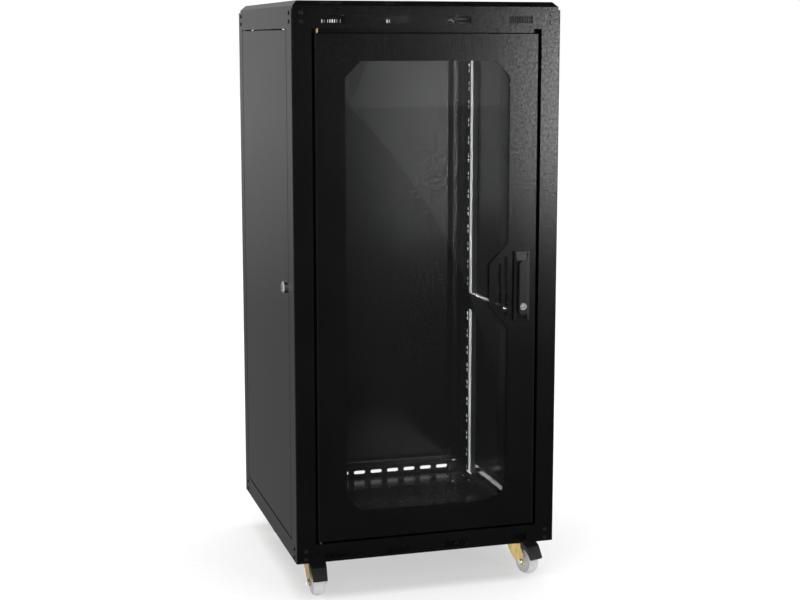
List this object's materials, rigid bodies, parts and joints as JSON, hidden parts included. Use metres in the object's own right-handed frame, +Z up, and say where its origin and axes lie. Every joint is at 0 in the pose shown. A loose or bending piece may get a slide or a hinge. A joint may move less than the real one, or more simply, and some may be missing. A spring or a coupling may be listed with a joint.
{
  "type": "network server rack cabinet",
  "caption": "Free-standing server rack cabinet: glazed front door with a swing handle, hinged side panels, rear door, 19-inch rails and swivel casters.",
  "frame": {"origin": "centre of the footprint on the floor, midway between the outer faces of the posts", "axes": "+Z up, -Y is the glazed front, +X is to the right seen from the front"},
  "size_m": [0.6168, 0.6253, 1.307],
  "materials": {
    "black_powder_coat": "fine textured powder coat",
    "black_gloss_coat": "glossy",
    "bright_zinc": "bright zinc plating",
    "yellow_zinc": "yellow passivated zinc",
    "black_screws": "black phosphate",
    "clear_glass": "clear tempered glass",
    "black_rubber": "matte",
    "black_plastic": "satin",
    "chrome": "polished",
    "white_nylon": "satin"
  },
  "bodies": {
    "cabinet": {"post_front_left": "black_powder_coat", "post_front_right": "black_powder_coat", "post_rear_left": "black_powder_coat", "post_rear_right": "black_powder_coat", "beam_front_bottom": "black_powder_coat", "beam_front_top": "black_powder_coat", "beam_rear_bottom": "black_powder_coat", "beam_rear_top": "black_powder_coat", "beam_left_bottom": "black_powder_coat", "beam_left_top": "black_powder_coat", "beam_right_bottom": "black_powder_coat", "beam_right_top": "black_powder_coat", "roof_cover": "black_powder_coat", "floor_plate": "black_gloss_coat", "rack_rail_front_left": "black_powder_coat", "rack_rail_front_right": "black_powder_coat", "rack_rail_rear_left": "black_powder_coat", "rack_rail_rear_right": "black_powder_coat", "rail_carriers": "bright_zinc", "side_braces": "black_powder_coat", "frame_screws": "black_screws", "caster_plates": "yellow_zinc", "caster_bolts": "bright_zinc"},
    "front_door": {"front_door_frame": "black_powder_coat", "front_door_glass": "clear_glass", "glass_gasket": "black_rubber", "front_hinge_pins": "yellow_zinc", "handle_bezel": "black_plastic"},
    "handle_turn": {"handle_spindle": "bright_zinc", "handle_cam": "bright_zinc"},
    "handle_lever": {"handle_lever": "black_plastic", "handle_pivot_pin": "bright_zinc"},
    "handle_key": {"key_cylinder": "chrome"},
    "rear_door": {"rear_door_panel": "black_powder_coat", "rear_hinge_pins": "yellow_zinc", "rear_lock_housing": "chrome"},
    "rear_lock": {"rear_lock_core": "chrome"},
    "left_panel": {"side_panel_left": "black_powder_coat", "side_hinge_pins_left": "yellow_zinc", "side_lock_housing_left": "chrome"},
    "left_lock": {"side_lock_core_left": "chrome"},
    "right_panel": {"side_panel_right": "black_powder_coat", "side_hinge_pins_right": "yellow_zinc", "side_lock_housing_right": "chrome"},
    "right_lock": {"side_lock_core_right": "chrome"},
    "entry_cover": {"cable_entry_cover": "black_powder_coat"},
    "fork_front_left": {"caster_fork_front_left": "yellow_zinc", "caster_axle_front_left": "bright_zinc"},
    "wheel_front_left": {"caster_wheel_front_left": "white_nylon"},
    "pedal_front_left": {"brake_pedal_front_left": "black_plastic"},
    "fork_front_right": {"caster_fork_front_right": "yellow_zinc", "caster_axle_front_right": "bright_zinc"},
    "wheel_front_right": {"caster_wheel_front_right": "white_nylon"},
    "pedal_front_right": {"brake_pedal_front_right": "black_plastic"},
    "fork_rear_left": {"caster_fork_rear_left": "yellow_zinc", "caster_axle_rear_left": "bright_zinc"},
    "wheel_rear_left": {"caster_wheel_rear_left": "white_nylon"},
    "fork_rear_right": {"caster_fork_rear_right": "yellow_zinc", "caster_axle_rear_right": "bright_zinc"},
    "wheel_rear_right": {"caster_wheel_rear_right": "white_nylon"}
  },
  "joints": [
    {"name": "front_door_hinge", "type": "hinge", "parent": "cabinet", "child": "front_door", "pos_m": [-0.244, -0.292, 0.69], "axis": [0, 0, -1], "range_deg": [0, 110]},
    {"name": "handle_turn", "type": "hinge", "parent": "front_door", "child": "handle_turn", "pos_m": [0.2155, -0.3, 0.732], "axis": [0, 1, 0], "range_deg": [0, 90]},
    {"name": "handle_swing", "type": "hinge", "parent": "handle_turn", "child": "handle_lever", "pos_m": [0.2155, -0.3118, 0.732], "axis": [-1, 0, 0], "range_deg": [0, 35]},
    {"name": "key_turn", "type": "hinge", "parent": "handle_lever", "child": "handle_key", "pos_m": [0.2155, -0.31, 0.641], "axis": [0, 1, 0], "range_deg": [0, 90]},
    {"name": "rear_door_hinge", "type": "hinge", "parent": "cabinet", "child": "rear_door", "pos_m": [0.244, 0.292, 0.69], "axis": [0, 0, -1], "range_deg": [0, 110]},
    {"name": "rear_lock_turn", "type": "hinge", "parent": "rear_door", "child": "rear_lock", "pos_m": [-0.213, 0.3, 0.692], "axis": [0, 1, 0], "range_deg": [0, 90]},
    {"name": "left_panel_hinge", "type": "hinge", "parent": "cabinet", "child": "left_panel", "pos_m": [-0.295, 0.25, 0.69], "axis": [0, 0, -1], "range_deg": [0, 105]},
    {"name": "left_lock_turn", "type": "hinge", "parent": "left_panel", "child": "left_lock", "pos_m": [-0.3, -0.213, 0.692], "axis": [1, 0, 0], "range_deg": [0, 90]},
    {"name": "right_panel_hinge", "type": "hinge", "parent": "cabinet", "child": "right_panel", "pos_m": [0.295, 0.25, 0.69], "axis": [0, 0, 1], "range_deg": [0, 105]},
    {"name": "right_lock_turn", "type": "hinge", "parent": "right_panel", "child": "right_lock", "pos_m": [0.3, -0.213, 0.692], "axis": [1, 0, 0], "range_deg": [0, 90]},
    {"name": "entry_cover_slide", "type": "slide", "parent": "cabinet", "child": "entry_cover", "axis": [0, -1, 0], "range_m": [0, 0.095]},
    {"name": "swivel_front_left", "type": "hinge", "parent": "cabinet", "child": "fork_front_left", "pos_m": [-0.245, -0.22, 0.08], "axis": [0, 0, 1], "continuous": true},
    {"name": "wheel_spin_front_left", "type": "hinge", "parent": "fork_front_left", "child": "wheel_front_left", "pos_m": [-0.245, -0.256, 0.031], "axis": [1, 0, 0], "continuous": true},
    {"name": "brake_lift_front_left", "type": "hinge", "parent": "fork_front_left", "child": "pedal_front_left", "pos_m": [-0.245, -0.244, 0.072], "axis": [-1, 0, 0], "range_deg": [0, 12]},
    {"name": "swivel_front_right", "type": "hinge", "parent": "cabinet", "child": "fork_front_right", "pos_m": [0.245, -0.22, 0.08], "axis": [0, 0, 1], "continuous": true},
    {"name": "wheel_spin_front_right", "type": "hinge", "parent": "fork_front_right", "child": "wheel_front_right", "pos_m": [0.25553, -0.25443, 0.031], "axis": [0.9563, 0.2924, 0], "continuous": true},
    {"name": "brake_lift_front_right", "type": "hinge", "parent": "fork_front_right", "child": "pedal_front_right", "pos_m": [0.25202, -0.24295, 0.072], "axis": [-0.9563, -0.2924, 0], "range_deg": [0, 12]},
    {"name": "swivel_rear_left", "type": "hinge", "parent": "cabinet", "child": "fork_rear_left", "pos_m": [-0.245, 0.22, 0.08], "axis": [0, 0, 1], "continuous": true},
    {"name": "wheel_spin_rear_left", "type": "hinge", "parent": "fork_rear_left", "child": "wheel_rear_left", "pos_m": [-0.23752, 0.18479, 0.031], "axis": [0.9781, 0.2079, 0], "continuous": true},
    {"name": "swivel_rear_right", "type": "hinge", "parent": "cabinet", "child": "fork_rear_right", "pos_m": [0.245, 0.22, 0.08], "axis": [0, 0, 1], "continuous": true},
    {"name": "wheel_spin_rear_right", "type": "hinge", "parent": "fork_rear_right", "child": "wheel_rear_right", "pos_m": [0.22979, 0.18737, 0.031], "axis": [0.9063, -0.4226, 0], "continuous": true}
  ]
}
